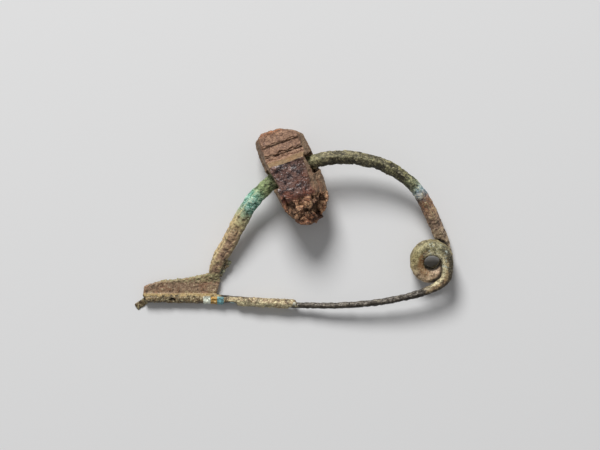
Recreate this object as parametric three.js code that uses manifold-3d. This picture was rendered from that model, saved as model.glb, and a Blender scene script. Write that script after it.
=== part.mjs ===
// An archaic bronze fibula: a safety-pin brooch of one wrought rod, with an amber bead threaded on its bow.
// The rod runs from the catch-plate up the leg, over the arched bow, round the spring and back as the pin,
// whose point corrosion has sealed into the rolled sleeve of the catch. The brooch lies on its side.
// Millimetres, +Z up. The origin is on the surface it lies on, at the middle of its footprint.
import * as THREE from 'three';
import { mergeVertices } from 'three/addons/utils/BufferGeometryUtils.js';
import Module from 'manifold-3d';

const wasm = await Module();
wasm.setup();
const degrees = THREE.MathUtils.degToRad;

// How the bronze lies: its plane leans off level, held up by the bead, on the spring and on the foot's tag.
const LEAN = degrees(14);
const DIP = degrees(1.5);
const PLANE_HEIGHT = 4.75;

// The bow's centreline in the brooch's own plane: x along the pin, y to the crown, z out of the plane.
const BOW = [
  [-20.0, -15.2, 0.1],
  [-18.7, -10.6, 0],
  [-16.7, -7.4, 0],
  [-13.5, -1.0, 0],
  [-9.0, 6.0, 0],
  [-0.2, 12.5, 0],
  [9.5, 15.6, 0],
  [20.6, 14.3, 0],
  [29.7, 8.7, 0],
  [33.9, 1.8, 0],
  [37.2, -5.8, 0],
];
// Two turns and a little more, rising to the front.
const SPRING = { x: 34.4, y: -10.1, radius: 3.75, rise: 5.5, from: degrees(12), to: degrees(-724), knots: 32 };
const PIN = [
  [37.9, -13.6, 5.65],
  [36.5, -15.2, 5.75],
  [33.6, -16.8, 5.75],
  [28.7, -18.4, 5.6],
  [21.0, -20.1, 5.1],
  [11.0, -21.2, 4.1],
  [0.8, -21.4, 2.9],
  [-9.0, -21.0, 2.0],
  [-19.4, -20.55, 1.1],
  [-30.0, -20.3, 0.7],
];

// The rod's size by its share of the way from the catch-plate to the pin's point, and how far its squarish
// section is rolled, in degrees: on the bow an arris runs along the front.
const ROD = [
  { at: 0, width: 2.3, thickness: 2.0, roll: 10 },
  { at: 0.044, width: 2.8, thickness: 2.6, roll: 25 },
  { at: 0.106, width: 3.2, thickness: 3.1, roll: 25 },
  { at: 0.168, width: 3.4, thickness: 3.2, roll: 32 },
  { at: 0.266, width: 3.0, thickness: 3.0, roll: 38 },
  { at: 0.381, width: 2.6, thickness: 2.6, roll: 30 },
  { at: 0.425, width: 2.9, thickness: 2.4, roll: 0 },
  { at: 0.619, width: 3.1, thickness: 2.3, roll: 0 },
  { at: 0.654, width: 2.5, thickness: 1.9, roll: 0 },
  { at: 0.69, width: 1.9, thickness: 1.7, roll: 20 },
  { at: 0.734, width: 1.6, thickness: 1.5, roll: 30 },
  { at: 0.867, width: 1.35, thickness: 1.35, roll: 30 },
  { at: 1, width: 0.9, thickness: 0.9, roll: 0 },
];
const ROD_SIDES = 12;
const ROD_STEPS = 170;
const HAMMERED = 3.2; // exponent of the rod's squarish section
const ROUND = 2;

// The catch-plate: a hammered sheet below the leg, broken off square at its far end.
const PLATE_OUTLINE = [
  [-37.4, -20.2],
  [-19.3, -20.6],
  [-19.0, -18.6],
  [-18.4, -16.8],
  [-18.3, -13.6],
  [-20.9, -14.1],
  [-27.2, -15.4],
  [-32.6, -15.9],
  [-35.9, -16.8],
  [-37.2, -17.4],
];
const PLATE_THICKNESS = 1.3;

// The sleeve: the plate's lower edge rolled round the pin, running on past the plate as a broken tube.
const SLEEVE = [
  [-36.9, -20.1, 0.6],
  [-19.4, -20.4, 1.0],
  [-9.0, -20.9, 2.1],
  [0.6, -21.2, 2.8],
];
const SLEEVE_RADIUS = 1.2;
const SLEEVE_SIDES = 10;
const SLEEVE_STEPS = 24;
const WALL_LOSS = { from: -17.3, to: -14.0, keep: -20.7 }; // here the lower half of its wall is gone
const LIP_LOSS = { from: -1.3, to: 2, keep: -21.6 };

// The tag: the splayed last end of the sleeve, bent down past the plate's corner.
const TAG = { length: 4.8, width: 1.7, thickness: 1.0, x: -37.2, y: -21.4, z: -0.4, turn: degrees(35) };

// The amber bead in its own frame: y along its long facets, z up from the belly that it lies on.
const BEAD = { x: -0.25, y: 10.5, turn: degrees(19.4), depth: 15.2 };
const BEAD_OUTLINE = [
  [-5.8, 10.8],
  [-6.2, 7.0],
  [-5.3, -2.4],
  [-4.3, -7.8],
  [-3.2, -10.1],
  [-1.9, -12.0],
  [0.3, -12.75],
  [2.0, -12.4],
  [5.4, -10.0],
  [7.0, -6.7],
  [7.3, -2.0],
  [6.8, 3.5],
  [5.9, 9.0],
  [4.3, 10.4],
  [0.9, 12.1],
  [-3.7, 12.2],
];
// Four long facets run out from the face and from the belly to the girth at mid-depth.
const GIRTH = { left: -6.3, right: 7.4, height: 7.2 };
const FACE = { left: -4.6, right: 4.1 };

// From the top end the face steps down to a notch, then climbs a sloping ledge to the crest.
const TREADS = [
  { from: 8.8, to: 14, cut: 1.0 },
  { from: 6.3, to: 8.8, cut: 1.5 },
  { from: 5.1, to: 6.3, cut: 1.9 },
];
const LEDGE_TOP = 3.7;
// At the lower end the crest has crumbled away to a slope. Bites are gone from it, and from the wall of the
// bead above the rod at both mouths of the drilled hole.
const CRUMBLED = { from: -4.6, slope: degrees(24) };
const BITES = [
  { x: 7.6, y: 1.8, z: 11.6, size: [6, 5.2, 7], turn: degrees(8), tilt: 0 },
  { x: -7.4, y: 0.3, z: 11.8, size: [6, 5.2, 8], turn: degrees(12), tilt: 0 },
  { x: 4.6, y: -9.6, z: 12.2, size: [4.4, 4.4, 4.4], turn: degrees(30), tilt: degrees(38) },
  { x: -3.6, y: -7.2, z: 15.4, size: [3.4, 3.4, 3.4], turn: degrees(-20), tilt: degrees(30) },
];

// The bead's drilled hole follows the bow's chord and is wider than the rod.
const BORE = { radius: 2.8, y: 1.1, z: 7.7, turn: degrees(7.5), rise: degrees(5.2), sides: 20 };

const FAR = 60; // the size of a cutting block, past everything

// A closed three.js geometry as a solid.
function solidOf(geometry) {
  const bare = geometry.clone();
  bare.deleteAttribute('normal');
  bare.deleteAttribute('uv');
  const merged = mergeVertices(bare, 1e-4);
  const vertProperties = merged.attributes.position.array;
  return new wasm.Manifold(new wasm.Mesh({ numProp: 3, vertProperties, triVerts: merged.index.array }));
}

// A solid as a three.js geometry.
function geometryOf(solid) {
  const { vertProperties, triVerts } = solid.getMesh();
  const geometry = new THREE.BufferGeometry();
  geometry.setAttribute('position', new THREE.BufferAttribute(vertProperties, 3));
  geometry.setIndex(new THREE.BufferAttribute(triVerts, 1));
  geometry.computeVertexNormals();
  return geometry;
}

// A smooth curve through points given as [x, y, z].
function smoothCurve(points) {
  const curve = new THREE.CatmullRomCurve3(points.map((p) => new THREE.Vector3(...p)), false, 'centripetal');
  curve.arcLengthDivisions = 1000;
  return curve;
}

// The rod's section at a share of the way along it.
function rodSectionAt(share) {
  const next = Math.max(1, ROD.findIndex(({ at }) => at >= share));
  const [a, b] = [ROD[next - 1], ROD[next]];
  const between = (key) => THREE.MathUtils.mapLinear(share, a.at, b.at, a[key], b[key]);
  return { width: between('width'), thickness: between('thickness'), roll: degrees(between('roll')) };
}

// A bar along a curve: a closed cylinder whose rings are moved onto it. sectionAt(share) gives its width,
// its thickness and its roll: with no roll the width lies in the brooch's plane.
function barAlong(curve, sides, steps, squareness, sectionAt) {
  const geometry = new THREE.CylinderGeometry(1, 1, 1, sides, steps, false, Math.PI / sides);
  const places = geometry.attributes.position;
  const front = new THREE.Vector3(0, 0, 1);
  const squared = (value) => Math.sign(value) * Math.abs(value) ** (2 / squareness);
  for (let i = 0; i < places.count; i++) {
    const share = THREE.MathUtils.clamp(0.5 - places.getY(i), 0, 1);
    const { width, thickness, roll } = sectionAt(share);
    const along = curve.getTangentAt(share);
    const side = new THREE.Vector3().crossVectors(front, along).normalize();
    const up = new THREE.Vector3().crossVectors(along, side);
    [side, up].forEach((axis) => axis.applyAxisAngle(along, roll));
    const spot = curve.getPointAt(share);
    spot.addScaledVector(side, (squared(places.getX(i)) * width) / 2);
    spot.addScaledVector(up, (squared(places.getZ(i)) * thickness) / 2);
    places.setXYZ(i, spot.x, spot.y, spot.z);
  }
  return geometry;
}

// The bow, the spring's turns and the pin, as one bar.
function rod() {
  const { x, y, radius, rise, from, to, knots } = SPRING;
  const turns = Array.from({ length: knots + 1 }, (_, i) => {
    const angle = THREE.MathUtils.lerp(from, to, i / knots);
    return [x + radius * Math.cos(angle), y + radius * Math.sin(angle), (rise * i) / knots];
  });
  return solidOf(barAlong(smoothCurve([...BOW, ...turns, ...PIN]), ROD_SIDES, ROD_STEPS, HAMMERED, rodSectionAt));
}

function catchPlate() {
  const outline = new THREE.Shape(PLATE_OUTLINE.map(([x, y]) => new THREE.Vector2(x, y)));
  const plate = new THREE.ExtrudeGeometry(outline, { depth: PLATE_THICKNESS, bevelEnabled: false });
  return solidOf(plate.translate(0, 0, -PLATE_THICKNESS / 2));
}

// A block that takes away what lies below y = keep, between two places along the sleeve.
function lossBlock({ from, to, keep }) {
  const block = new THREE.BoxGeometry(to - from, FAR, FAR);
  return solidOf(block.translate((from + to) / 2, keep - FAR / 2, 0));
}

function sleeve() {
  const section = { width: 2 * SLEEVE_RADIUS, thickness: 2 * SLEEVE_RADIUS, roll: 0 };
  const tube = solidOf(barAlong(smoothCurve(SLEEVE), SLEEVE_SIDES, SLEEVE_STEPS, ROUND, () => section));
  return tube.subtract(lossBlock(WALL_LOSS)).subtract(lossBlock(LIP_LOSS));
}

function tag() {
  const { length, width, thickness, x, y, z, turn } = TAG;
  return solidOf(new THREE.BoxGeometry(length, width, thickness).rotateZ(turn).translate(x, y, z));
}

// Everything below the resting surface, in the frame of the given group.
function below(group) {
  group.updateMatrixWorld(true);
  const block = new THREE.BoxGeometry(2 * FAR, 2 * FAR, FAR).translate(0, 0, -FAR / 2);
  return solidOf(block.applyMatrix4(group.matrixWorld.clone().invert()));
}

// One of the bead's long facets as the block it takes off: beyond the line from (x0, z0) to (x1, z1),
// seen along the bead, with the bead on the line's left.
function facet(x0, z0, x1, z1) {
  const block = new THREE.BoxGeometry(FAR, FAR, FAR).translate(0, 0, -FAR / 2);
  return solidOf(block.rotateY(-Math.atan2(z1 - z0, x1 - x0)).translate(x0, 0, z0));
}

// The notch in the upper half of the face: its treads' outline, drawn along the bead and run across it.
function notch() {
  const over = BEAD.depth + 1;
  const steps = TREADS.flatMap(({ from, to, cut }) => [
    [to, BEAD.depth - cut],
    [from, BEAD.depth - cut],
  ]);
  const line = [[TREADS[0].to, over], ...steps, [LEDGE_TOP, BEAD.depth], [LEDGE_TOP, over]];
  const outline = new THREE.Shape(line.map(([y, z]) => new THREE.Vector2(y, z)));
  const cutter = new THREE.ExtrudeGeometry(outline, { depth: FAR, bevelEnabled: false });
  return solidOf(cutter.translate(0, 0, -FAR / 2).rotateX(Math.PI / 2).rotateZ(Math.PI / 2));
}

function crumbledEnd() {
  const { from, slope } = CRUMBLED;
  const block = new THREE.BoxGeometry(FAR, FAR, FAR).translate(0, -FAR / 2, FAR / 2);
  return solidOf(block.rotateX(slope).translate(0, from, BEAD.depth));
}

function bite({ x, y, z, size, turn, tilt }) {
  return solidOf(new THREE.BoxGeometry(...size).rotateX(tilt).rotateZ(turn).translate(x, y, z));
}

function bore() {
  const { radius, y, z, turn, rise, sides } = BORE;
  const hole = new THREE.CylinderGeometry(radius, radius, FAR, sides).rotateZ(Math.PI / 2);
  return solidOf(hole.rotateY(-rise).rotateZ(turn).translate(0, y, z));
}

function bead() {
  const { depth } = BEAD;
  const outline = new THREE.Shape(BEAD_OUTLINE.map(([x, y]) => new THREE.Vector2(x, y)));
  const blank = solidOf(new THREE.ExtrudeGeometry(outline, { depth, bevelEnabled: false }));
  const cuts = [
    facet(FACE.right, 0, GIRTH.right, GIRTH.height),
    facet(GIRTH.right, GIRTH.height, FACE.right, depth),
    facet(FACE.left, depth, GIRTH.left, GIRTH.height),
    facet(GIRTH.left, GIRTH.height, FACE.left, 0),
    notch(),
    crumbledEnd(),
    ...BITES.map(bite),
    bore(),
  ];
  return cuts.reduce((solid, cut) => solid.subtract(cut), blank);
}

function nodeOf(name, solid, look) {
  const mesh = new THREE.Mesh(geometryOf(solid), new THREE.MeshStandardMaterial(look));
  mesh.name = name;
  return mesh;
}

const lying = new THREE.Group();
lying.rotation.set(LEAN, DIP, 0, 'YXZ');
lying.position.z = PLANE_HEIGHT;
const bronze = [catchPlate(), sleeve(), tag()].reduce((whole, more) => whole.add(more), rod());
const patina = { color: 0x6a5d3a, roughness: 0.62, metalness: 0.75 };
lying.add(nodeOf('bronze_fibula', bronze.subtract(below(lying)), patina));

const threaded = new THREE.Group();
threaded.rotation.z = BEAD.turn;
threaded.position.set(BEAD.x, BEAD.y, 0);
threaded.add(nodeOf('amber_bead', bead(), { color: 0x6e4526, roughness: 0.38, metalness: 0 }));

// The two together, with the middle of their footprint on the origin.
const brooch = new THREE.Group();
brooch.name = 'fibula_brooch';
brooch.add(lying, threaded);
const middle = new THREE.Box3().setFromObject(brooch, true).getCenter(new THREE.Vector3());
[lying, threaded].forEach((group) => group.position.sub(middle.setZ(0)));

export default brooch;
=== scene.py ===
# An archaic bronze fibula with an amber bead on its bow, lying on a pale floor and seen from above.
import math
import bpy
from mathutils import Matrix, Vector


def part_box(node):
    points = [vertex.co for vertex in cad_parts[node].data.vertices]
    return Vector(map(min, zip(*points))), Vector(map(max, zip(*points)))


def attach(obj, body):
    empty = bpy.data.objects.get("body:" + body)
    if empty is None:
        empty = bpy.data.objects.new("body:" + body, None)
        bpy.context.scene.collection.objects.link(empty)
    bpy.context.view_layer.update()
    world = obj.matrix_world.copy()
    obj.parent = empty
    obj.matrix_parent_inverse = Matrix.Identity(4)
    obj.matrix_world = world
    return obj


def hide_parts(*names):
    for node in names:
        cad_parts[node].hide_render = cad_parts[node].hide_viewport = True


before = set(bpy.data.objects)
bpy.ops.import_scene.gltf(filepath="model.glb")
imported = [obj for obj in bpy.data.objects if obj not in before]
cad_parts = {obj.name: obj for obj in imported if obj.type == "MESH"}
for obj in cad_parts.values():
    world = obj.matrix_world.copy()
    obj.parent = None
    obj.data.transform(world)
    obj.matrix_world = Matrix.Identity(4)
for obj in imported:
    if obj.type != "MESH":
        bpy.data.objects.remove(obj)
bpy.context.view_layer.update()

from types import SimpleNamespace

import bmesh
import bpy
import numpy as np
from mathutils import Euler, Matrix, Vector, kdtree, noise

MM = 0.001  # the making below is in millimetres; meshes are scaled to metres at the end

# How the parts lie, in millimetres and degrees, as in the part's own frame.
SHIFT = Vector((0.10, 0.294, 0))  # from the makers' axes to the middle of the footprint
BRONZE_LIE = Matrix.Translation(SHIFT + Vector((0, 0, 4.75))) @ (
    Matrix.Rotation(math.radians(1.5), 4, "Y") @ Matrix.Rotation(math.radians(14), 4, "X"))
BEAD_LIE = Matrix.Translation(SHIFT + Vector((-0.25, 10.5, 0))) @ (
    Matrix.Rotation(math.radians(19.4), 4, "Z"))
BEAD_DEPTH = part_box("amber_bead")[1].z / MM

# The rod's centreline in its own plane: the bow, then the spring's two turns, then the pin.
BOW = [(-20.0, -15.2, 0.1), (-18.7, -10.6, 0), (-16.7, -7.4, 0), (-13.5, -1.0, 0), (-9.0, 6.0, 0),
       (-0.2, 12.5, 0), (9.5, 15.6, 0), (20.6, 14.3, 0), (29.7, 8.7, 0), (33.9, 1.8, 0), (37.2, -5.8, 0)]
SPRING = dict(x=34.4, y=-10.1, radius=3.75, rise=5.5, start=12, end=-724, knots=32)
PIN = [(37.9, -13.6, 5.65), (36.5, -15.2, 5.75), (33.6, -16.8, 5.75), (28.7, -18.4, 5.6), (21.0, -20.1, 5.1),
       (11.0, -21.2, 4.1), (0.8, -21.4, 2.9), (-9.0, -21.0, 2.0), (-19.4, -20.55, 1.1), (-30.0, -20.3, 0.7)]
STEPS_PER_SPAN = 24

# Where crust has thickened the rod: millimetres from the foot, and by how much.
CRUST = [(0, 0.15), (4, 0.3), (8, 0.45), (15, 0.38), (20, 0.22), (30, 0.12), (40, 0), (66, 0),
         (72, 0.16), (78, 0.3), (83, 0.2), (92, 0.16), (112, 0.2), (136, 0.2), (144, 0.05), (146, 0)]

# The catch-plate's upper edge, and the line at the leg's foot where a flake of crust hangs on.
PLATE_EDGE = [(-36.4, -16.6), (-32.6, -15.5), (-27.1, -14.8), (-23.4, -14.3), (-20.0, -13.4)]
FLAKE_LINE = [(-16.1, -10.9), (-17.3, -12.6), (-18.4, -14.6), (-18.8, -16.6)]

BRONZE_GRAIN = 0.175  # millimetres between the points of the worked surfaces
BEAD_GRAIN = 0.15


# ---- camera, floor and light ----

LENS, SENSOR = 200.0, 36.0  # millimetres; what follows is in metres and watts
VIEW_WIDTH, VIEW_MIDDLE = 0.150, (0.00172, -0.00121)
FLOOR_REACH = 3.0
WINDOW_PLACE, WINDOW_SIZE, WINDOW_POWER = (-0.30, 1.04, 1.00), 0.62, 23.5
ROOM_LIGHT = 0.27


def aim(thing, target):
    thing.rotation_euler = (target - thing.location).to_track_quat("-Z", "Y").to_euler()


def add(name, data):
    thing = bpy.data.objects.new(name, data)
    bpy.context.scene.collection.objects.link(thing)
    return thing


def make_camera():
    """Straight above, from far enough that a long lens takes in the view's width."""
    data = bpy.data.cameras.new("camera")
    data.lens, data.sensor_width, data.clip_end = LENS, SENSOR, 10
    camera = add("camera", data)
    camera.location = (*VIEW_MIDDLE, VIEW_WIDTH * LENS / SENSOR)
    bpy.context.scene.camera = camera


def make_window():
    """The one soft light, high beyond the crown of the bow and a little to the left."""
    data = bpy.data.lights.new("window", "AREA")
    data.shape, data.size, data.energy = "DISK", WINDOW_SIZE, WINDOW_POWER
    light = add("window", data)
    light.location = WINDOW_PLACE
    aim(light, Vector((0, 0, 0)))


def make_studio():
    mesh = bpy.data.meshes.new("floor")
    reach = FLOOR_REACH
    corners = [(-reach, -reach, 0), (reach, -reach, 0), (reach, reach, 0), (-reach, reach, 0)]
    mesh.from_pydata(corners, [], [(0, 1, 2, 3)])
    floor = add("floor", mesh)
    finish = Finish("pale_paper")
    finish.shader({"Base Color": colour_of("#d9d9d9"), "Roughness": 0.9, "Specular IOR Level": 0.1})
    mesh.materials.append(finish.material)
    make_window()
    world = bpy.data.worlds.new("room")
    world.use_nodes = True
    sky = world.node_tree.nodes["Background"]
    sky.inputs["Color"].default_value = (0.99, 0.99, 1.0, 1)
    sky.inputs["Strength"].default_value = ROOM_LIGHT
    bpy.context.scene.world = world
    bpy.context.scene.view_settings.view_transform = "Standard"


# ---- shader maths ----

def colour_of(code):
    """A colour given as #rrggbb, as the shader's linear numbers."""
    parts = [int(code[i:i + 2], 16) / 255 for i in (1, 3, 5)]
    return tuple(c / 12.92 if c <= 0.04045 else ((c + 0.055) / 1.055) ** 2.4 for c in parts) + (1,)


class Value:
    """A number in a finish. Sums on it add Math nodes."""

    def __init__(self, finish, socket):
        self.finish, self.socket = finish, socket

    def math(self, operation, *numbers):
        return self.finish.node("ShaderNodeMath", {"operation": operation}, dict(enumerate(numbers)))

    def __add__(self, other): return self.math("ADD", self, other)
    def __sub__(self, other): return self.math("SUBTRACT", self, other)
    def __mul__(self, other): return self.math("MULTIPLY", self, other)
    def __rsub__(self, other): return self.math("SUBTRACT", other, self)
    def __abs__(self): return self.math("ABSOLUTE", self)
    __radd__, __rmul__ = __add__, __mul__

    def rise(self, low, high):
        """0 below low, 1 above high, and a soft step between."""
        settings = {"interpolation_type": "SMOOTHSTEP"}
        inputs = {"Value": self, "From Min": low, "From Max": high}
        return self.finish.node("ShaderNodeMapRange", settings, inputs)

    def drop(self, low, high):
        """1 below low, 0 above high, and a soft step between."""
        return self.rise(high, low)


class Finish:
    """A material being built: node() adds any node, and the others are short forms of it."""

    def __init__(self, name):
        self.material = bpy.data.materials.new(name)
        self.material.use_nodes = True
        self.tree = self.material.node_tree
        self.out = self.tree.nodes["Material Output"]
        self.principled = self.tree.nodes["Principled BSDF"]

    def node(self, kind, settings=None, inputs=None, output=0):
        made = self.tree.nodes.new(kind)
        for key, value in (settings or {}).items():
            if key == "stops":
                self.set_stops(made.color_ramp, value)
            else:
                setattr(made, key, value)
        self.connect(made, inputs or {})
        return Value(self, made.outputs[output])

    def connect(self, made, inputs):
        for key, value in inputs.items():
            if isinstance(value, Value):
                self.tree.links.new(value.socket, made.inputs[key])
            else:
                made.inputs[key].default_value = value

    @staticmethod
    def set_stops(ramp, stops):
        for _ in range(len(stops) - 2):
            ramp.elements.new(0.5)
        for element, (at, colour) in zip(ramp.elements, stops):
            element.position, element.color = at, colour

    def attribute(self, name, output="Fac"):
        return self.node("ShaderNodeAttribute", {"attribute_name": name}, output=output)

    def place(self):
        """Where a point is, in millimetres, in the part's own frame."""
        at = self.node("ShaderNodeTexCoord", output="Object")
        return self.node("ShaderNodeVectorMath", {"operation": "SCALE"}, {0: at, "Scale": 1 / MM})

    def axis(self, place, axis):
        return self.node("ShaderNodeSeparateXYZ", None, {"Vector": place}, output=axis)

    def noise(self, place, size, detail=3.0, roughness=0.6, distortion=0.0):
        inputs = {"Vector": place, "Scale": 1 / size, "Detail": detail, "Roughness": roughness,
                  "Distortion": distortion}
        return self.node("ShaderNodeTexNoise", None, inputs)

    def cracks(self, place, size):
        """The distance to the nearest crack of a net with cells of that size."""
        inputs = {"Vector": place, "Scale": 1 / size}
        return self.node("ShaderNodeTexVoronoi", {"feature": "DISTANCE_TO_EDGE"}, inputs)

    def mix(self, mask, under, over):
        settings = {"data_type": "RGBA", "clamp_factor": True}
        under, over = [colour_of(c) if isinstance(c, str) else c for c in (under, over)]
        return self.node("ShaderNodeMix", settings, {"Factor": mask, 6: under, 7: over}, output=2)

    def ramp(self, along, stops):
        stops = [(at, colour_of(code)) for at, code in stops]
        return self.node("ShaderNodeValToRGB", {"stops": stops}, {"Fac": along})

    def patch(self, place, middle, radius, edge):
        """1 inside a ball of that radius, 0 outside; edge is a noise that makes its rim ragged."""
        away = self.node("ShaderNodeVectorMath", {"operation": "DISTANCE"}, {0: place, 1: middle}, "Value")
        return (away + (edge - 0.5) * (radius * 1.6)).drop(radius * 0.88, radius * 1.12)

    def bump(self, height, distance, strength):
        inputs = {"Height": height, "Distance": distance, "Strength": strength}
        return self.node("ShaderNodeBump", None, inputs)

    def shader(self, inputs):
        self.connect(self.principled, inputs)


# ---- mesh making ----

def smooth_line(knots, steps):
    """Points along a centripetal Catmull-Rom curve through the knots."""
    knots = np.array(knots, float)
    first, last = 2 * knots[0] - knots[1], 2 * knots[-1] - knots[-2]
    knots = np.vstack([first, knots, last])
    line = []
    for a, b, c, d in zip(knots, knots[1:], knots[2:], knots[3:]):
        t1, t2, t3 = np.cumsum([np.linalg.norm(q - p) ** 0.5 for p, q in ((a, b), (b, c), (c, d))])
        for t in np.linspace(t1, t2, steps, endpoint=False):
            ab = a + (b - a) * t / t1
            bc = b + (c - b) * (t - t1) / (t2 - t1)
            cd = c + (d - c) * (t - t2) / (t3 - t2)
            abc = ab + (bc - ab) * t / t2
            bcd = bc + (cd - bc) * (t - t1) / (t3 - t1)
            line.append(abc + (bcd - abc) * (t - t1) / (t2 - t1))
    return np.array(line + [knots[-2]])


def rod_line():
    """The rod's centreline in the part's own frame, and the length run at each of its points."""
    s = SPRING
    shares = np.linspace(0, 1, s["knots"] + 1)
    angles = np.radians(s["start"] + (s["end"] - s["start"]) * shares)
    turns = [(s["x"] + s["radius"] * math.cos(a), s["y"] + s["radius"] * math.sin(a), s["rise"] * share)
             for a, share in zip(angles, shares)]
    line = smooth_line(BOW + turns + PIN, STEPS_PER_SPAN)
    line = np.array([BRONZE_LIE @ Vector(p) for p in line])
    run = np.concatenate([[0], np.cumsum(np.linalg.norm(np.diff(line, axis=0), axis=1))])
    return line, run


def lump(into, place, radius, seed):
    """A rough little crumb added to a bmesh, turned and stretched by its seed."""
    turn = Euler((seed * 1.7, seed * 2.3, seed * 0.9)).to_matrix().to_4x4()
    stretch = Matrix.Diagonal((1.0 + 0.4 * math.sin(seed * 3.1), 0.8, 0.75, 1))
    at = Matrix.Translation(place) @ turn @ stretch @ Matrix.Scale(radius, 4)
    bmesh.ops.create_icosphere(into, subdivisions=2, radius=1, matrix=at)


def along(points, share):
    """The place at a share of the way along a short list of points."""
    points = np.array(points, float)
    at = share * (len(points) - 1)
    i = min(int(at), len(points) - 2)
    return points[i] + (points[i + 1] - points[i]) * (at - i)


def worked_copy(node, name, grain, smoothing, crumbs=()):
    """A CAD node as one fine, even mesh in millimetres, with crumbs of (place, radius) fused onto it."""
    shape = bmesh.new()
    shape.from_mesh(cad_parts[node].data)
    bmesh.ops.scale(shape, vec=(1 / MM,) * 3, verts=shape.verts)
    for seed, (place, radius) in enumerate(crumbs):
        lump(shape, place, radius, seed)
    mesh = bpy.data.meshes.new(name)
    shape.to_mesh(mesh)
    shape.free()
    thing = add(name, mesh)
    fuse = thing.modifiers.new("fuse", "REMESH")
    fuse.mode, fuse.voxel_size = "VOXEL", grain
    ease = thing.modifiers.new("ease", "SMOOTH")
    ease.factor, ease.iterations = 0.5, smoothing
    fused = bpy.data.meshes.new_from_object(thing.evaluated_get(bpy.context.evaluated_depsgraph_get()))
    thing.modifiers.clear()
    thing.data = fused
    fused.materials.clear()
    return thing


def coordinates(mesh, what="co"):
    values = np.empty(len(mesh.vertices) * 3)
    source = mesh.vertices if what == "co" else mesh.vertex_normals
    source.foreach_get("co" if what == "co" else "vector", values)
    return values.reshape(-1, 3)


def put_back(mesh, places):
    mesh.vertices.foreach_set("co", (places * MM).ravel())
    mesh.update()


def keep(mesh, name, values):
    mesh.attributes.new(name, "FLOAT", "POINT").data.foreach_set("value", values.astype(np.float32))


def soft_step(values, low, high):
    """0 below low, 1 above high, and a soft step between."""
    t = np.clip((values - low) / (high - low), 0, 1)
    return t * t * (3 - 2 * t)


def soft_drop(values, low, high):
    """1 below low, 0 above high, and a soft step between."""
    return soft_step(-values, -high, -low)


def near(distances, width):
    """1 on a line, fading to 0 at about twice that width from it."""
    return np.exp(-(distances / width) ** 2)


def ripple(places, size, octaves=1, seed=0):
    """A smooth random field over points, about -0.5 to 0.5, with lumps of that size."""
    shift = Vector((seed * 17.3, seed * 5.1, seed * 9.7))
    return np.array([noise.fractal(Vector(p) / size + shift, 0.7, 2.1, octaves) for p in places]) * 0.6


def broken(places, size, seed=0):
    """Broken chunks: how far each point is from the crack beside it, and its chunk's random number."""
    shift = Vector((seed * 7.7, seed * 3.9, seed * 1.3))
    gaps, heights = [], []
    for p in places:
        distances, middles = noise.voronoi(Vector(p) / size + shift)
        gaps.append((distances[1] - distances[0]) * size)
        heights.append(noise.cell(middles[0] * 7.31))
    return np.array(gaps), np.array(heights)


def move_out(mesh, places, normals, out, ground):
    """Move each point outwards, except where ground is 0 at the floor; nothing reaches below the floor."""
    places = places + normals * (out * ground)[:, None]
    places[:, 2] = np.maximum(places[:, 2], 0)
    put_back(mesh, places)


def in_axes_of(lie, values, turn_only=False):
    """Places, or directions with turn_only, seen in the axes of a part that lies so."""
    home = np.array(lie.inverted())
    turned = values @ home[:3, :3].T
    return turned if turn_only else turned + home[:3, 3]


# ---- the bronze ----

# Where the parts of the bronze begin and end, each as a soft step from one number to the other:
# along the rod, in millimetres from the foot,
BOW_ENDS, COIL_STARTS, COIL_ENDS, PIN_STARTS = (84, 88), (92, 97), (133, 138), (142, 147)
# and on the catch, in millimetres along X and Y.
PLATE_RIGHT, PLATE_LOW, PLATE_HIGH = (-18.6, -17.6), (-19.4, -18.9), (-13.6, -12.6)
SLEEVE_RIGHT, SLEEVE_HIGH = (0.9, 1.4), (-19.4, -18.9)
ROLL_RIGHT, ROLL_HIGH = (-18.2, -17.6), (-19.3, -18.9)

SEAM_Y = -18.9  # where the plate rolls over into the sleeve
PIT = (-30.2, -20.2, 2.3)  # a deep pit in the sleeve, in the makers' axes
PIT_STRETCH = (0.7, 1, 1)  # distances from it are shortened along X, so that it is longer that way
ARRIS_LEAN = [(0, 46), (60, 40), (110, 30), (200, 14)]  # the point of the line, and degrees outwards
OWN_STRAND = 8  # points of the rod nearer than this along it are one strand
STRAND_REACH = 2.9  # how far other strands are looked for


def crust_crumbs():
    """Crumbs of crust along the catch-plate's upper edge and the flake at the leg's foot."""
    pick = np.random.default_rng(7)
    crumbs = []
    for share in np.linspace(0.12, 1, 34):
        x, y = along(PLATE_EDGE, share) + pick.normal(0, 0.12, 2)
        height = 1.35 + 0.25 * (x + 36) / 16 + pick.normal(0, 0.18)
        crumbs.append((SHIFT + Vector((x, y, height)), pick.uniform(0.14, 0.30)))
    for share in np.linspace(0, 1, 13):
        for inward in (0.0, 0.55, 1.1):
            x, y = along(FLAKE_LINE, share) + pick.normal(0, 0.1, 2)
            place = Vector((x - inward, y + inward * 0.5, 1.2 + 0.7 * (1 - share) + 0.25 * inward))
            crumbs.append((SHIFT + place, pick.uniform(0.26, 0.42)))
    return crumbs


def across_rod(places, line, nearest):
    """How far each point is to the rod's outer side, and how near the arris along the bow's front."""
    ahead = np.gradient(line, axis=0)
    ahead /= np.linalg.norm(ahead, axis=1)[:, None]
    outer = np.cross(np.array(BRONZE_LIE.to_3x3() @ Vector((0, 0, 1))), ahead)
    outer /= np.linalg.norm(outer, axis=1)[:, None]
    front = np.cross(ahead, outer)
    lean = np.radians(np.interp(np.arange(len(line)), *zip(*ARRIS_LEAN)))[:, None]
    arris = (front * np.cos(lean) + outer * np.sin(lean))[nearest]
    spoke = places - line[nearest]
    side = (spoke * outer[nearest]).sum(axis=1)
    spoke /= np.linalg.norm(spoke, axis=1)[:, None]
    angle = np.arccos(np.clip((spoke * arris).sum(axis=1), -1, 1))
    return side, near(angle, 0.20)


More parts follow.
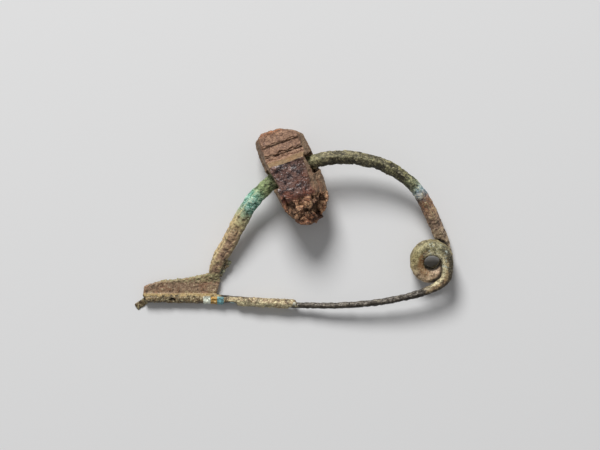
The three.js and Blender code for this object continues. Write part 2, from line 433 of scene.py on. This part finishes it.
def other_strand(tree, place, ran, run):
    """How far a point is from another strand of the rod than its own, if that is near."""
    found = tree.find_range(place, STRAND_REACH)
    gaps = [gap for _, i, gap in found if abs(run[i] - ran) > OWN_STRAND]
    return min(gaps, default=STRAND_REACH)


def bronze_places(places):
    """Where each point is: its millimetres along the rod, and a mask from 0 to 1 for each part."""
    line, run = rod_line()
    tree = kdtree.KDTree(len(line))
    for i, point in enumerate(line):
        tree.insert(point, i)
    tree.balance()
    found = [tree.find(p)[1:] for p in places]
    nearest, away = np.array([f[0] for f in found]), np.array([f[1] for f in found])
    ran = run[nearest]
    x, y, _ = places.T
    m = SimpleNamespace(ran=ran, length=run[-1])
    m.side, m.arris = across_rod(places, line, nearest)
    # Painted shade: the crevice mask darkens the rod where another strand passes close beside it.
    other = np.array([other_strand(tree, p, ran_at, run) for p, ran_at in zip(places, ran)])
    m.crevice = soft_drop(other, 1.9, 2.5)

    flat = in_axes_of(BRONZE_LIE, places)[:, :2] - (SPRING["x"], SPRING["y"])
    m.coil = soft_step(ran, *COIL_STARTS) * soft_drop(ran, *COIL_ENDS)
    # Painted shade inside the spring's eye, which the coil keeps the light from.
    m.eyelet = m.coil * soft_drop(np.linalg.norm(flat, axis=1), 2.2, 2.6)
    m.plate = soft_drop(x, *PLATE_RIGHT) * soft_step(y, *PLATE_LOW) * soft_drop(y, *PLATE_HIGH)
    sleeve = soft_drop(x, *SLEEVE_RIGHT) * soft_drop(y, *SLEEVE_HIGH) * soft_step(away, 0.72, 0.84)
    roll = soft_drop(x, *ROLL_RIGHT) * soft_drop(y, *ROLL_HIGH)
    m.sleeve = np.maximum(sleeve, roll)
    m.pin = soft_step(ran, *PIN_STARTS) * (1 - m.sleeve) * (1 - m.plate)
    m.bow = soft_drop(ran, *BOW_ENDS) * (1 - m.plate) * (1 - m.sleeve)
    m.edge = soft_step(y, -17.0, -15.0) * m.plate
    m.lip = soft_drop(x, -20.5, -19.0) * near(y - SHIFT.y + 19.2, 0.5)
    pit = np.linalg.norm((places - np.array(SHIFT) - PIT) * PIT_STRETCH, axis=1)
    # The first mask sinks the pit; the second is for painted shade inside it.
    m.pit, m.pit_dirt = soft_drop(pit, 0.3, 0.7), soft_drop(pit, 0.4, 0.6)
    return m


def bronze_relief(places, m):
    """How far each point moves outwards, and how raised its surface is, from 0 in a pit to 1."""
    hammered = ripple(places, 3.4, 2, 1)
    crust = ripple(places, 0.95, 3, 2)
    fine = ripple(places, 0.34, 2, 3)
    thickened = np.interp(m.ran, *zip(*CRUST)) * (1 - m.plate) * (1 - m.sleeve)
    out = 0.26 * hammered * m.bow + 0.16 * crust + 0.11 * fine + thickened * (1 - m.crevice)
    # Part by part: the mask, how deep, the size of the lumps, their octaves and the seed.
    for mask, depth, size, octaves, seed in [(m.pin, 0.22, 1.3, 2, 5), (m.edge, 0.4, 0.6, 2, 6),
                                             (m.sleeve, 0.24, 0.8, 3, 7), (m.sleeve, 0.22, 1.7, 2, 9),
                                             (m.lip, 0.55, 1.1, 3, 15)]:
        out += mask * depth * ripple(places, size, octaves, seed)
    out -= 0.7 * m.pit
    out += m.bow * 0.24 * m.arris * soft_drop(m.ran, 70, 84)
    lost_flakes = soft_step(ripple(places, 1.6, 2, 8), 0.05, 0.13) * (m.bow + m.sleeve * 0.7) * 0.14
    raised = 0.5 + (0.9 * crust + 0.6 * fine + 0.5 * hammered) - lost_flakes * 1.5
    return out - lost_flakes, np.clip(raised, 0, 1)


def make_bronze():
    piece = worked_copy("bronze_fibula", "bronze", BRONZE_GRAIN, 3, crust_crumbs())
    mesh = piece.data
    places, normals = coordinates(mesh), coordinates(mesh, "normal")
    m = bronze_places(places)
    out, raised = bronze_relief(places, m)
    move_out(mesh, places, normals, out, soft_step(places[:, 2], 0.05, 0.5))
    for name in ("plate", "sleeve", "pin", "side", "coil"):
        keep(mesh, name, getattr(m, name))
    keep(mesh, "run", m.ran / m.length)
    keep(mesh, "arris", m.arris * m.bow)
    # One attribute for all painted shade: between strands, inside the spring's eye and inside the pit.
    keep(mesh, "crevice", np.maximum.reduce([m.crevice, m.eyelet, m.pit_dirt]))
    keep(mesh, "raised", raised)
    mesh.shade_smooth()
    mesh.materials.append(bronze_finish(m.length))
    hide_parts("bronze_fibula")
    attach(piece, "root")


# Patina along the rod: millimetres from the foot, the main colour and the colour that mottles it.
PATINA = [
    (0, "#987a60", "#b49a74"),
    (6, "#a0806a", "#bea67c"),
    (12, "#ab8a6e", "#d2bb90"),
    (16, "#ad9870", "#d6c994"),
    (18.5, "#8f9070", "#a9c7a0"),
    (20.5, "#4e8872", "#c8ecdf"),
    (23.5, "#4f8a70", "#aee0ca"),
    (26, "#788a5c", "#aabb84"),
    (33, "#6a6c4c", "#9a9c6e"),
    (44, "#55503a", "#968c6a"),
    (58, "#413d2c", "#807a5a"),
    (64, "#4a4632", "#9a9568"),
    (67.5, "#697057", "#b2b78c"),
    (69.5, "#6f8c96", "#ccdde4"),
    (71.5, "#6a4f3e", "#a06c48"),
    (79, "#846d5b", "#ba9e84"),
    (85, "#968268", "#c6b598"),
    (92, "#6f6449", "#9c8f68"),
    (110, "#7d7250", "#ada27a"),
    (115, "#b3977c", "#e6c8ac"),
    (121, "#a58b6c", "#dcc4a2"),
    (124.5, "#7c7048", "#b3a676"),
    (131, "#757050", "#bdb692"),
    (135, "#74664a", "#b9a984"),
    (141, "#7a6246", "#c4a678"),
    (146, "#2c2620", "#4f483f"),
    (175, "#342e28", "#5b544a"),
    (209, "#2e2925", "#565049"),
]


# The fills across the sleeve: the middle and half the width of each along X, and its colour.
FILLS = [(-21.5, 0.9, "#e2e8d6"), (-19.75, 0.75, "#b58b3e"), (-18.1, 0.8, "#6b9fa4")]
# Spots of their own colour: the middle, the radius and the colour.
SPOTS = [((-15.2, -20.6, 1.6), 0.75, "#9fc0c4"), ((-15.9, -10.4, 1.8), 1.1, "#9a9c80"),
         ((-17.4, -12.9, 1.6), 1.0, "#8d9078"), ((0.5, -20.9, 3.6), 0.6, "#d8d6c4")]


def bronze_surface(f):
    """What the bronze's colours are made from: where a point is, which part it is on, and noises."""
    t = SimpleNamespace(place=f.place())
    for name in ("run", "raised", "plate", "sleeve", "pin", "arris", "crevice", "coil"):
        setattr(t, name, f.attribute(name))
    t.broad, t.middling = f.noise(t.place, 2.6, 4), f.noise(t.place, 0.7, 6, 0.72, 0.5)
    t.fine, t.specks = f.noise(t.place, 0.26, 4, 0.75), f.noise(t.place, 0.45, 5, 0.75, 1.0)
    t.side = f.attribute("side") + (t.middling - 0.5) * 1.2
    t.x, t.y = f.axis(t.place, "X"), f.axis(t.place, "Y")
    t.seam = t.y + (t.middling - 0.5) * 1.4
    return t


def rod_colour(f, t, length):
    """The rod's patina, its arris, lighter from wear and as a painted highlight, and painted highlight and
    shade on its sides. Stretches are shares of its length.
    """
    wander = t.run + (t.broad - 0.5) * 0.02
    main = f.ramp(wander, [(mm / length, code) for mm, code, _ in PATINA])
    mottle = f.ramp(wander, [(mm / length, code) for mm, _, code in PATINA])
    colour = f.mix((t.middling * 0.45 + t.fine * 0.8 + t.raised * 0.25).rise(0.70, 0.86), main, mottle)
    # The arris is lighter partly from wear and partly as a painted highlight where it catches the light.
    worn_and_lit_arris = (t.arris * 0.8 + (t.fine - 0.5) * 1.6).rise(0.45, 0.8) * (t.broad.rise(0.40, 0.52) * 0.7 + 0.3)
    colour = f.mix(worn_and_lit_arris * t.run.drop(0.10, 0.13) * 0.8, colour, "#d9ca96")
    colour = f.mix(worn_and_lit_arris * t.run.rise(0.13, 0.16) * 0.4, colour, "#a8a478")

    leg = t.run.drop(0.07, 0.10) * (1 - t.plate)
    # Painted highlight along the leg's left side, toward the light, and painted shade along its right side.
    colour = f.mix(leg * t.side.rise(0.5, 1.2) * 0.6, colour, "#c2ac7c")
    colour = f.mix(leg * t.side.drop(-1.4, -0.7) * 0.6, colour, "#6f6a4c")
    # Painted shade along the underside of the bow's arch.
    arch = t.run.rise(0.15, 0.17) * t.run.drop(0.33, 0.36)
    colour = f.mix(arch * t.side.drop(-1.1, -0.2) * 0.55, colour, "#33301f")
    # Painted shade along the pin's lower side, and painted highlight flecks along its upper side.
    colour = f.mix(t.pin * t.side.rise(0.0, 0.5) * 0.7, colour, "#27221d")
    pin_highlight = t.pin * t.side.drop(-0.35, 0.0) * t.fine.rise(0.46, 0.58)
    return f.mix(pin_highlight * 0.4, colour, "#8c8478")


def spring_colour(f, t, colour):
    """Rust inside the front turn, and the last strand with a painted highlight on its inner edge, painted
    shade in the crease beyond that edge and painted shade on its outer half.
    """
    far_side = t.run.rise(0.565, 0.575) * t.run.drop(0.605, 0.625)
    rusty = t.coil * t.side.drop(-0.6, 0.5) * far_side * t.middling.rise(0.40, 0.54)
    colour = f.mix(rusty * 0.85, colour, "#8e6038")
    last = t.run.rise(0.60, 0.62) * t.run.drop(0.68, 0.70)
    # Painted highlight along the inner edge of the last strand.
    colour = f.mix(last * t.side.drop(-0.7, -0.3) * t.fine.rise(0.40, 0.54) * 0.85, colour, "#ece2b8")
    # Painted shade: a dark line beyond that edge, where the strand lies over the turn below.
    colour = f.mix(last * t.run.rise(0.635, 0.65) * t.side.drop(-1.3, -1.0) * 0.9, colour, "#211a12")
    # Painted shade along the last strand's outer half.
    colour = f.mix(last * t.run.rise(0.625, 0.64) * t.side.rise(0.0, 0.5) * 0.85, colour, "#363026")
    pale_spots = f.noise(t.place, 0.8, 3).rise(0.56, 0.64)
    return f.mix(last * t.run.drop(0.65, 0.66) * pale_spots * 0.6, colour, "#b4c2bc")


def catch_colour(f, t, colour):
    """The plate, the sleeve, the pits along the seam between them, and the crust on the plate's edge."""
    tan = f.mix((t.middling * 0.6 + t.fine * 0.4).rise(0.42, 0.60), "#7f6450", "#b1967a")
    tan = f.mix(t.broad.rise(0.50, 0.62) * 0.5, tan, "#94684c")
    tan = f.mix(t.seam.drop(-18.5, -18.0) * 0.7, tan, "#ab9660")
    colour = f.mix(t.plate, colour, tan)

    free = (t.x + (t.broad - 0.5) * 8).rise(-17.5, -13.5)
    grain = t.middling * 0.7 + t.fine * 0.5
    sleeve_tone_and_light = f.mix(grain.rise(0.52, 0.74), "#5f4a34", "#98825a")
    sleeve_tone_and_light = f.mix(free, sleeve_tone_and_light, f.mix(grain.rise(0.50, 0.70), "#84735a", "#d6caa0"))
    sleeve_tone_and_light = f.mix(t.broad.rise(0.55, 0.65) * 0.6, sleeve_tone_and_light, "#8a6a4a")
    # Painted shade along the lower side of the sleeve's left part, broken up by fine noise.
    sleeve_tone_and_light = f.mix(t.side.rise(0.1, 0.8) * (1 - free) * t.fine.drop(0.50, 0.62) * 0.75, sleeve_tone_and_light, "#43321f")
    sleeve_tone_and_light = f.mix(t.side.drop(-0.7, -0.2) * free * 0.5, sleeve_tone_and_light, "#7a5036")
    # Painted highlights: pale yellow specks over the sleeve.
    sleeve_tone_and_light = f.mix(t.specks.rise(0.53, 0.60) * (free * 0.4 + 0.6), sleeve_tone_and_light, "#ebe2b4")
    colour = f.mix(t.sleeve, colour, sleeve_tone_and_light)

    pits = abs(t.seam - SEAM_Y).drop(0.2, 0.45) * f.noise(t.place, 1.1, 4, 0.65, 0.4).rise(0.50, 0.58)
    colour = f.mix(pits * (t.plate + t.sleeve) * t.x.drop(-19.4, -18.4) * 0.8, colour, "#2c2218")
    green = f.noise(t.place, 1.2, 5, 0.7, 0.6).rise(0.60, 0.72) * (1 - t.pin) * 0.55
    colour = f.mix(green, colour, "#6f7f52")
    edge = t.y.rise(-15.9, -14.9) * t.plate
    return f.mix(edge * t.specks.rise(0.40, 0.55) * 0.8, colour, "#8f9063")


def bronze_marks(f, t, colour):
    """The fills and spots, then what lies over everything: painted shade in the hollows, painted highlights
    on raised spots, painted glints, dark specks and painted shade in the crevices.
    """
    for middle, half, code in FILLS:
        fill = (abs(t.x - middle) + (t.fine - 0.5) * 0.7).drop(half * 0.9, half * 1.15)
        colour = f.mix(fill * t.sleeve * t.fine.rise(0.25, 0.40), colour, code)
    for middle, radius, code in SPOTS:
        colour = f.mix(f.patch(t.place, middle, radius, t.middling) * 0.9, colour, code)
    # Painted shade in the hollows of the relief: the lower the surface, the darker.
    colour = f.mix(t.raised.drop(0.08, 0.30) * 0.5, colour, "#241d15")
    # Painted highlight on the raised spots of the relief.
    colour = f.mix((t.fine * 0.8 + t.raised * 0.4).rise(0.70, 0.84) * (1 - t.pin) * 0.45, colour, "#d2c795")
    # Painted glints: the noise's high values give pale specks; its low values give dark specks.
    glint_and_speck_noise = f.noise(t.place, 0.55, 3, 0.6, 0.8)
    colour = f.mix(glint_and_speck_noise.rise(0.60, 0.69) * (1 - t.pin * 0.6) * 0.6, colour, "#e0d7b2")
    colour = f.mix(glint_and_speck_noise.drop(0.34, 0.42) * 0.7, colour, "#292118")
    # Painted shade between strands, inside the spring's eye and inside the pit.
    return f.mix(t.crevice * 0.9, colour, "#17120d")


def bronze_finish(length):
    f = Finish("old_bronze")
    t = bronze_surface(f)
    colour = spring_colour(f, t, rod_colour(f, t, length))
    colour = bronze_marks(f, t, catch_colour(f, t, colour))
    rough = 0.62 + (t.middling - 0.5) * 0.5 - t.pin * 0.2 - t.sleeve * 0.12
    metal = 0.10 + t.pin * 0.35 + t.sleeve * 0.15
    height = t.fine * 0.5 + t.middling * 0.8 + t.specks * 0.3
    f.shader({"Base Color": colour, "Roughness": rough, "Metallic": metal, "Specular IOR Level": 0.5,
              "Normal": f.bump(height, 0.00012, 0.7)})
    return f.material


# ---- the amber ----

# In the bead's own axes: X runs across its face, Y along it from the crumbled end, Z out of the face.
# Grooves across the face: the place along the bead, the depth and the width.
GROOVES = [(8.85, 0.42, 0.16), (6.35, 0.6, 0.24), (5.15, 0.25, 0.14)]
# Narrow gouges along the sides, hollows in the crumbled end and a raised shard on it: both ends of each.
GOUGES = [((4.1, -2.6), (3.95, -4.6)), ((5.0, -6.1), (4.4, -8.2)),
          ((-3.8, -4.5), (-3.7, -6.9)), ((-3.3, -8.8), (-3.2, -10.2))]
HOLLOWS = [((-0.1, -5.3), (-0.4, -7.5)), ((2.9, -5.9), (2.7, -8.3)), ((-0.9, -8.9), (2.1, -9.3))]
SHARD = ((1.9, -6.2), (1.5, -8.1))
CREST_TOP = (3.2, 3.7)  # where the crest gives way to the ledge
BORE_Y = 0.8  # the middle of the bore's ragged mouths


def away_from(places, start, end):
    """How far points are from a line across the bead's face, seen from the front."""
    start, end = np.array(start), np.array(end)
    flat = places[:, :2] - start
    share = np.clip(flat @ (end - start) / ((end - start) @ (end - start)), 0, 1)
    return np.linalg.norm(flat - share[:, None] * (end - start), axis=1)


def crumbled_relief(inside, wobble):
    """The crumbled end: big and small broken chunks, curved creases, hollows and a shard."""
    gap, height = broken(inside * (1, 0.8, 1), 2.3, 1)
    small_gap, small_height = broken(inside, 1.1, 2)
    swirl = ripple(inside, 2.6, 2, 13)
    out = (height - 0.55) * 0.55 - 0.25 * near(gap, 0.16)
    out += (small_height - 0.5) * 0.18 - 0.10 * near(small_gap, 0.10)
    out += 0.5 * np.abs(swirl) - 0.25 * near(swirl, 0.035)
    for start, end in HOLLOWS:
        out -= 0.75 * near(away_from(inside, start, end) + 0.5 * wobble, 0.36)
    return out + 0.5 * soft_drop(away_from(inside, *SHARD), 0.7, 1.1)


def crest_relief(inside):
    """The crest: crazed plates, a wavy surface and a fold down its right side."""
    x, y, _ = inside.T
    gap, height = broken(inside, 1.5, 5)
    out = (height - 0.5) * 0.15 + 0.35 * ripple(inside, 1.8, 3, 10) - 0.10 * near(gap, 0.10)
    fold = x - 2.6 + 0.12 * y + 0.5 * ripple(inside, 1.6, 2, 14)
    return out - 0.28 * near(fold, 0.16) - 0.12 * soft_step(fold, 0.0, 0.4)


def side_relief(inside, sides):
    """The sides: fine streaks along the bead, lost chips, and ragged rims round the mouths of the bore."""
    x, y, z = inside.T
    chips = soft_step(ripple(inside * (1, 0.55, 1), 1.7, 2, 9), 0.12, 0.20) * sides
    out = sides * 0.16 * ripple(inside * (2.4, 0.4, 2.4), 1.0, 2, 12) - 0.18 * chips
    mouths = soft_step(np.abs(x), 3.8, 4.8) * soft_step(z, 6, 8) * soft_drop(np.abs(y - BORE_Y), 3.2, 4.2)
    out += mouths * 0.5 * ripple(inside, 1.0, 2, 11)
    for start, end in GOUGES:
        out -= 0.75 * soft_step(z, 7.5, 9) * near(away_from(inside, start, end), 0.26)
    return out


def make_amber():
    piece = worked_copy("amber_bead", "amber", BEAD_GRAIN, 2)
    mesh = piece.data
    places, normals = coordinates(mesh), coordinates(mesh, "normal")
    inside = in_axes_of(BEAD_LIE, places)
    faces_front = in_axes_of(BEAD_LIE, normals, turn_only=True)[:, 2]
    x, y, z = inside.T
    front = soft_step(faces_front, 0.45, 0.8) * soft_step(z, BEAD_DEPTH - 5.5, BEAD_DEPTH - 4)
    crumbled = soft_drop(y, -7.4, -4.6) * soft_step(z, 3.0, 9.0)
    crest = front * soft_drop(y, *CREST_TOP) * (1 - crumbled)
    sides = 1 - soft_step(faces_front, 0.35, 0.7)
    wobble = ripple(inside, 1.4, 2, 3)

    out = crumbled * crumbled_relief(inside, wobble) + crest * crest_relief(inside)
    for at, depth, width in GROOVES:
        out -= front * depth * near(y - at - 0.75 * wobble, width)
    out += soft_step(y, 9.6, 12.0) * 0.5 * ripple(inside, 1.0, 3, 6)
    out += 0.42 * ripple(inside, 4.0, 2, 7) + 0.12 * ripple(inside, 0.8, 3, 8)
    out += side_relief(inside, sides)
    move_out(mesh, places, normals, out, soft_step(z, 0.1, 1.2))

    for name, values in [("along", y), ("across", x), ("front", front), ("crumbled", crumbled),
                         ("hollow", np.clip(-out * 1.1, 0, 1))]:
        keep(mesh, name, values)
    mesh.shade_smooth()
    mesh.materials.append(amber_finish())
    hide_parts("amber_bead")
    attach(piece, "root")


def amber_surface(f):
    """What the amber's colours are made from: where a point is on the bead, and noises."""
    t = SimpleNamespace(place=f.place())
    for name in ("along", "across", "front", "crumbled", "hollow"):
        setattr(t, name, f.attribute(name))
    t.broad, t.middling = f.noise(t.place, 3.2, 4), f.noise(t.place, 1.1, 6, 0.65, 0.5)
    t.fine = f.noise(t.place, 0.35, 4, 0.7)
    t.edge = t.along + (t.middling - 0.5) * 1.1
    t.grain = t.middling * 0.6 + t.fine * 0.4
    return t


def face_colour(f, t):
    """The front, from the crest up over the sloping ledge to the bands of the treads."""
    bands = f.mix(t.grain.rise(0.40, 0.58), "#795949", "#b08b70")
    bands = f.mix(t.edge.rise(11.0, 12.2) * t.fine.rise(0.40, 0.60) * 0.8, bands, "#b66e40")
    ledge = f.mix(t.fine.rise(0.3, 0.7), "#866a4a", "#ab9262")
    crest = f.mix(f.noise(t.place, 1.3, 4, 0.6, 0.4).rise(0.40, 0.60), "#291a1c", "#74544a")
    crest = f.mix((t.broad * 0.8 - t.along * 0.03).rise(0.42, 0.60) * 0.7, crest, "#8c4e36")
    crest = f.mix(t.fine.rise(0.56, 0.68) * 0.6, crest, "#a27e6a")
    crest = f.mix(t.across.rise(1.8, 4.0) * 0.5, crest, "#7d5a46")
    # Painted glints: a few near-white specks on the glossy crest.
    crest = f.mix(f.noise(t.place, 0.6, 2, 0.5).rise(0.70, 0.74) * 0.9, crest, "#ece4de")
    face = f.mix(t.edge.rise(3.5, 3.9), crest, ledge)
    return f.mix(t.edge.rise(4.7, 5.0), face, bands)


def crumbled_colour(f, t):
    ends = f.mix(t.grain.rise(0.42, 0.58), "#8a6047", "#cda078")
    ends = f.mix(t.fine.rise(0.52, 0.66) * 0.6, ends, "#dcc098")
    ends = f.mix(t.broad.rise(0.52, 0.62) * 0.45, ends, "#9c5a3c")
    return f.mix(t.edge.drop(-11.2, -9.6) * 0.6, ends, "#7c4529")


def amber_finish():
    f = Finish("old_amber")
    t = amber_surface(f)
    flank = f.mix(t.grain.rise(0.40, 0.60), "#6f5642", "#987e63")
    flank = f.mix(t.broad.rise(0.5, 0.66) * 0.6, flank, "#85593e")
    colour = f.mix(t.front, flank, face_colour(f, t))
    broken_away = (t.crumbled * 1.2 + (t.broad - 0.5) * 0.8).rise(0.35, 0.8)
    colour = f.mix(broken_away, colour, crumbled_colour(f, t))
    cracks = f.cracks(t.place, 1.3).drop(0.01, 0.06) * 0.6
    colour = f.mix(cracks * (t.crumbled + t.front * 0.5), colour, "#22130f")
    # Painted shade in the hollows of the relief: the deeper, the darker.
    colour = f.mix(t.hollow.rise(0.35, 0.9) * 0.65, colour, "#22140e")

    glossy = t.front * t.edge.drop(3.4, 3.9) * (1 - t.crumbled)
    rough = 0.66 - glossy * (0.10 + t.broad * 0.28) + (t.fine - 0.5) * 0.3
    height = t.fine * 0.5 + t.middling * 0.8 + f.cracks(t.place, 0.8).rise(0.0, 0.12) * 0.5
    f.shader({"Base Color": colour, "Roughness": rough, "Coat Weight": glossy * t.middling * 0.4,
              "Coat Roughness": 0.2, "IOR": 1.54, "Normal": f.bump(height, 0.00018, 0.8)})
    return f.material


make_camera()
make_studio()
make_bronze()
make_amber()
